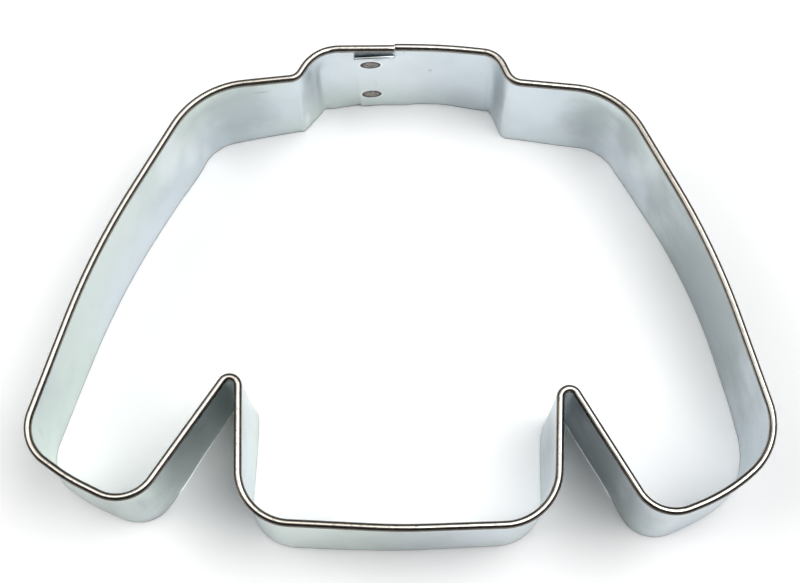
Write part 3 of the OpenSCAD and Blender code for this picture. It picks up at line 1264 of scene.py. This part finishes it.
    def leans(self) -> tuple[list[Vector], list[float], list[float]]:
        """The lean and crease of the cutting edge all round the strip.

        Returns:
            Places close together along the strip, and the lean and crease at each in millimetres.
        """
        places, creases = self.path.stations(self.spring_step)
        count = len(places)
        known = []
        for s in self.springs:
            at = Vector((s.x, s.y, 0)) * MM
            known.append((min(range(count), key=lambda k, at=at: (places[k] - at).length), s.lean))
        known.sort()
        first, last = known[0], known[-1]
        known = [(last[0] - count, last[1]), *known, (first[0] + count, first[1])]
        sharp = []
        for (a, low), (b, high) in pairwise(known):
            inside = range(max(a, 0), min(b, count))
            sharp.extend(low + (high - low) * (k - a) / (b - a) for k in inside)
        half = round(self.spring_blur / self.spring_step / 2)
        window = range(-half, half + 1)
        soft = [sum(sharp[(k + d) % count] for d in window) / len(window) for k in range(count)]
        return places, soft, creases

    def lean(self, band: bpy.types.Object) -> None:
        """Leans the wall at the cutting edge and creases its bends, as the real band is sprung.

        Args:
            band: The band, still a single layer.
        """
        places, leans, creases = self.leans()
        tree = KDTree(len(places))
        for k, place in enumerate(places):
            tree.insert(place, k)
        tree.balance()
        most = max(abs(x) for x in (*leans, *creases)) * self.spring_room
        ways = {"sprung_out": -1.0, "sprung_in": 1.0}
        groups = {name: band.vertex_groups.new(name=name) for name in ways}
        for v in band.data.vertices:
            at = tree.find(Vector((v.co.x, v.co.y, 0)))[1]
            z = v.co.z / MM
            down = max(0.0, 1 - z / self.spring_top) ** self.spring_curve
            crease = eased(creases[at], unit((self.crease_top - z) / self.crease_run))
            size = (leans[at] * down + crease) / most
            name = "sprung_out" if size > 0 else "sprung_in"
            groups[name].add([v.index], abs(size), "REPLACE")
        for name, way in ways.items():
            modify(band, "DISPLACE", strength=way * most * MM, mid_level=0.0, vertex_group=name)
        band.vertex_groups.clear()

    def ripples(self, band: bpy.types.Object) -> None:
        """Gives the wall the slight ripples of thin sheet, away from the lap and the bead.

        Args:
            band: The band, still a single layer.
        """
        group = band.vertex_groups.new(name="wall")
        start, end = self.flat_lap
        for v in band.data.vertices:
            along, inward, z = self.path.in_lap(v.co)
            beyond = max(start - along, along - end) if abs(inward) < end else self.fade
            weight = unit(beyond / self.fade) * unit((self.ripple_top - z) / self.ripple_run)
            group.add([v.index], weight, "REPLACE")
        texture = bpy.data.textures.new("sheet_ripple", type="CLOUDS")
        texture.noise_scale = self.ripple_size * MM
        texture.noise_depth = 1
        modify(
            band,
            "DISPLACE",
            texture=texture,
            texture_coords="LOCAL",
            strength=self.ripple * MM,
            mid_level=0.5,
            vertex_group="wall",
        )
        band.vertex_groups.clear()

    def lift_end(self, bench: Bench) -> None:
        """Lets the right end of the bead stand a little proud of the left one.

        Args:
            bench: The open mesh.
        """
        path, start = self.path, -self.lap.seam_gap / 2

        def right_end(at: Vector) -> bool:
            """Whether a point is on the cut end right of the seam, above the notch."""
            along, inward, z = path.in_lap(at)
            above = inward < BEAD_D / 2 and z > self.section.upper_rows[0] - NEAR
            return above and abs(along - start) < NEAR

        bench.select(Element.VERT, right_end)
        by = path.lap_offset(self.end_close, -self.end_proud, self.end_high)
        bench.move(by, self.end_reach)

    def thicken(self, band: bpy.types.Object) -> None:
        """Gives the sheet its thickness, on the side away from the dough, and notes its outer face.

        Args:
            band: The band, still a single layer.
        """
        outer = band.vertex_groups.new(name="outer_face")
        modify(
            band,
            "SOLIDIFY",
            thickness=self.section.sheet * MM,
            offset=-1.0,
            use_even_offset=True,
            use_quality_normals=True,
            shell_vertex_group=outer.name,
        )
        turns = band.data.attributes[BEAD_TURN].data
        for v in band.data.vertices:
            on_wall = turns[v.index].value == WALL_TURN
            if on_wall and any(held.weight > 0.5 for held in v.groups):
                turns[v.index].value = OUTER_TURN
        band.vertex_groups.clear()

    def press_welds(self, bench: Bench) -> None:
        """Presses the electrodes' shallow marks into both faces of the lap.

        Args:
            bench: The open mesh.
        """
        path, lap, sheet = self.path, self.lap, self.section.sheet
        for x, h, high in lap.welds():
            for face, way in ((self.shift, -1.0), (-sheet, 1.0)):

                def in_print(at: Vector, face: float = face, weld: Triple = (x, h, high)) -> bool:
                    """Whether a point is in the flat of this electrode's mark."""
                    along, inward, z = path.in_lap(at)
                    reach = math.hypot(along - weld[0], (z - weld[1]) * lap.weld_d / weld[2])
                    on_face = abs(inward - face) < lap.weld_near
                    return on_face and reach < lap.weld_d / 2 - lap.weld_slope

                bench.select(Element.VERT, in_print)
                bench.move(path.lap_offset(0, way * lap.weld_dent, 0), lap.weld_soft)

    def dent_bead(self, bench: Bench) -> None:
        """Knocks small nicks into the bead, where the first marks are.

        Args:
            bench: The open mesh.
        """
        for mark, depth in zip(self.marks, self.nick_depths, strict=False):
            centre = Vector(mark.place) * MM
            reach = self.nick_size * MM
            bench.select(Element.VERT, lambda at, c=centre: (at - c).length < reach)
            bench.move(UP * -depth * MM, self.nick_soft)

    def round_edges(self, band: bpy.types.Object) -> None:
        """Takes the sharpness off the sheet's cut edges and smooths the faces.

        Args:
            band: The band.
        """
        modify(
            band,
            "BEVEL",
            width=self.edge_round * MM,
            segments=2,
            limit_method="ANGLE",
            angle_limit=math.radians(self.rounded_from),
        )
        bpy.ops.object.shade_smooth_by_angle(angle=math.radians(self.smooth_to))

    def lap_mark(
        self, place: Triple, size: Triple, strength: float, tone: Tone = Tone.STAIN_AND_SHADE
    ) -> Mark:
        """A mark whose place is given in the lap's own frame."""
        return Mark(tuple(self.path.lap_place(*place) / MM), size, strength, tone)

    def dress(self, band: bpy.types.Object) -> None:
        """Gives the band its finish and ties it to the CAD part.

        Args:
            band: The band.
        """
        lap, length, top = self.lap, self.lap.tongue_len, self.lap.tongue_top
        sizes = [(lap.weld_d / 2, lap.weld_through, high / 2) for _, _, high in lap.welds()]
        welds = (
            self.lap_mark((x, 0, h), size, 1.0, Tone.WELD)
            for (x, h, _), size in zip(lap.welds(), sizes, strict=True)
        )
        # Painted shade in the crevice between the tongue's flared lip and the wall.
        crevice_place = (length * 0.53, -0.2, top - 1.2)
        crevice = self.lap_mark(crevice_place, (length * 0.60, 0.45, 1.3), 0.95, Tone.CREVICE_SHADE)
        # Painted shade dimming the tongue's lip and the line under it.
        lip_place = (length * 0.4, 0.75, top + 0.05)
        lip = self.lap_mark(lip_place, (length * 0.9, 0.75, 0.45), 0.75)
        finish = Tinplate(marks=(*self.marks, *welds, crevice, lip))
        band.data.materials.append(finish.build())
        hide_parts(NODE)
        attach(band, BODY)


@dataclass(frozen=True)
class SoftLamp:
    """A round soft lamp, aimed at the cutter from an azimuth and a height in degrees.

    Its size is in metres and its power in watts.
    """

    name: str
    azimuth: float
    height: float
    power: float
    size: float


@dataclass
class Studio:
    """A white table, soft lamps high on both sides, and the photograph's camera.

    The camera's place is in millimetres and the table and lamps are in metres. The sky's
    ranges are of the cosine of the angle from its bright core.
    """

    camera_at: Triple = (1.12, -86.11, 272.47)
    pitch: float = 18.4437
    roll: float = 0.26
    focal_px: float = 1679.92
    sensor: float = 36.0
    clip: Range = (0.01, 20.0)
    floor_size: float = 6.0
    floor_seen: float = 1.19
    floor_bounce: float = 0.8
    core_way: Triple = (0.2, 0.22, 1.0)
    sky: Range = (0.08, 0.40)
    sky_fade: Range = (0.45, 0.80)
    core: float = 1.5
    core_fade: Range = (0.89, 0.965)
    sky_fill: float = 0.02
    lamp_away: float = 0.9
    lamps: tuple[SoftLamp, ...] = (
        SoftLamp("right_soft", 0.0, 68.0, 5.8, 0.75),
        SoftLamp("left_soft", 180.0, 45.0, 1.85, 0.55),
        SoftLamp("left_high", 180.0, 68.0, 1.4, 0.6),
        SoftLamp("back_left", 135.0, 45.0, 0.5, 0.55),
    )

    def build(self) -> None:
        """Makes the whole studio."""
        bpy.context.scene.view_settings.view_transform = "Standard"
        self.camera()
        self.floor()
        self.world()
        for lamp in self.lamps:
            self.hang(lamp)

    def put(self, data: bpy.types.ID, place: Vector, turn: Matrix) -> bpy.types.Object:
        """Puts a camera or a lamp into the scene.

        Args:
            data: The camera or lamp, whose name the object takes.
            place: Its place in metres.
            turn: Its rotation.

        Returns:
            The new object.
        """
        made = bpy.data.objects.new(data.name, data)
        bpy.context.scene.collection.objects.link(made)
        made.matrix_world = Matrix.Translation(place) @ turn
        return made

    def camera(self) -> None:
        """Sets the camera where the photograph was taken from."""
        data = bpy.data.cameras.new("photo_camera")
        data.sensor_width = self.sensor
        data.lens = self.focal_px * self.sensor / PHOTO_WIDTH
        data.clip_start, data.clip_end = self.clip
        roll = Matrix.Rotation(math.radians(self.roll), 4, "Y")
        turn = roll @ Matrix.Rotation(math.radians(self.pitch), 4, "X")
        bpy.context.scene.camera = self.put(data, Vector(self.camera_at) * MM, turn)

    def floor(self) -> None:
        """Lays the white table under the cutter."""
        bpy.ops.object.select_all(action="DESELECT")
        bpy.ops.mesh.primitive_plane_add(size=self.floor_size, location=(0.0, 0.0, 0.0))
        table = bpy.context.active_object
        table.name = "table"
        material = bpy.data.materials.new("white_table")
        g = Graph(material)
        ray = g.node("ShaderNodeLightPath").outputs
        mirrored = g.most(ray["Is Glossy Ray"], ray["Is Transmission Ray"])
        seen = g.most(ray["Is Camera Ray"], mirrored)
        tone = g.ramp(seen, 0.0, 1.0, self.floor_bounce, self.floor_seen)
        colour = g.node("ShaderNodeCombineColor", enumerate((tone, tone, tone))).outputs[0]
        white = g.node("ShaderNodeBsdfDiffuse", {"Color": colour}).outputs[0]
        g.node("ShaderNodeOutputMaterial", {"Surface": white})
        table.data.materials.append(material)

    def world(self) -> None:
        """Makes a dim room with a bright ceiling for the metal to mirror, white to the camera."""
        world = bpy.data.worlds.new("studio")
        bpy.context.scene.world = world
        g = Graph(world)
        looking = g.node("ShaderNodeTexCoord").outputs["Generated"]
        inputs = enumerate((looking, Vector(self.core_way).normalized()))
        way = g.node("ShaderNodeVectorMath", inputs, operation="DOT_PRODUCT").outputs["Value"]
        ceiling = g.ramp(way, *self.sky_fade, *self.sky)
        overhead = g.plus(ceiling, g.ramp(way, *self.core_fade, 0.0, self.core))
        ray = g.node("ShaderNodeLightPath").outputs
        mirrored = g.most(ray["Is Glossy Ray"], ray["Is Transmission Ray"])
        lit = g.plus(g.times(overhead, mirrored), self.sky_fill)
        strength = g.most(lit, ray["Is Camera Ray"])
        inputs = {"Color": (1.0, 1.0, 1.0, 1.0), "Strength": strength}
        back = g.node("ShaderNodeBackground", inputs).outputs[0]
        g.node("ShaderNodeOutputWorld", {"Surface": back})

    def hang(self, lamp: SoftLamp) -> None:
        """Hangs a soft lamp and aims it at the cutter.

        Args:
            lamp: The lamp.
        """
        data = bpy.data.lights.new(lamp.name, "AREA")
        data.shape = "DISK"
        data.size = lamp.size
        data.energy = lamp.power
        azimuth, height = math.radians(lamp.azimuth), math.radians(lamp.height)
        flat = math.cos(height)
        way = Vector((math.cos(azimuth) * flat, math.sin(azimuth) * flat, math.sin(height)))
        turn = way.to_track_quat("Z", "Y").to_matrix().to_4x4()
        self.put(data, way * self.lamp_away, turn)


def main() -> None:
    """Builds the studio and the band."""
    logging.basicConfig(level=logging.INFO, format="%(name)s: %(message)s")
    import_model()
    Studio().build()
    band = CutterBand().build()
    mesh = band.data
    log.info("%s: %d vertices, %d faces", band.name, len(mesh.vertices), len(mesh.polygons))


if __name__ == "__main__":
    main()
